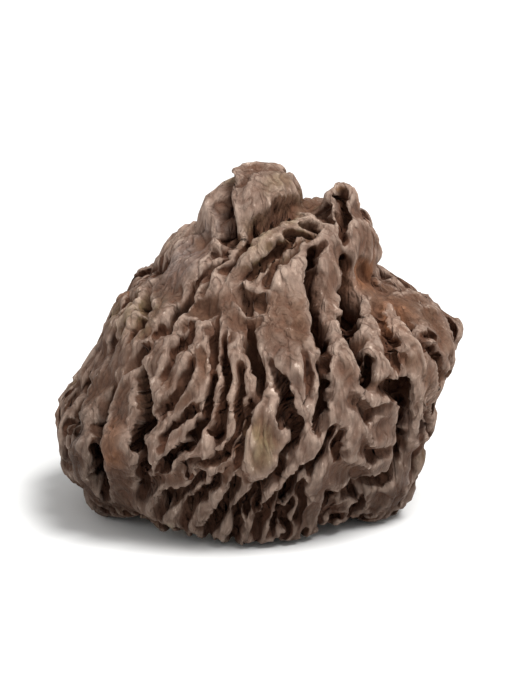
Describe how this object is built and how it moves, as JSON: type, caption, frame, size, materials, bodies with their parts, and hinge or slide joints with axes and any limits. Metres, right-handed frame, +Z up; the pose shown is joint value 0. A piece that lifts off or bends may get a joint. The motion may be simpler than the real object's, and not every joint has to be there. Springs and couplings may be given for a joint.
{
  "type": "dried morel mushroom",
  "caption": "Dried morel mushroom: a shrunken conical cap with lengthwise meandering ridges and deep slots, standing on its flat underside.",
  "frame": {"origin": "middle of the flat underside, below the centre of the cap's box", "axes": "+Z up through the cap's tip, -Y the front that shows the main slots, +X the cap's wider shoulder"},
  "size_m": [0.042, 0.0388, 0.036],
  "materials": {
    "dried_tissue": "matt dry tissue, finely wrinkled, taupe ridges with near-black slots"
  },
  "bodies": {
    "root": {"dried_morel": "dried_tissue"}
  },
  "joints": []
}
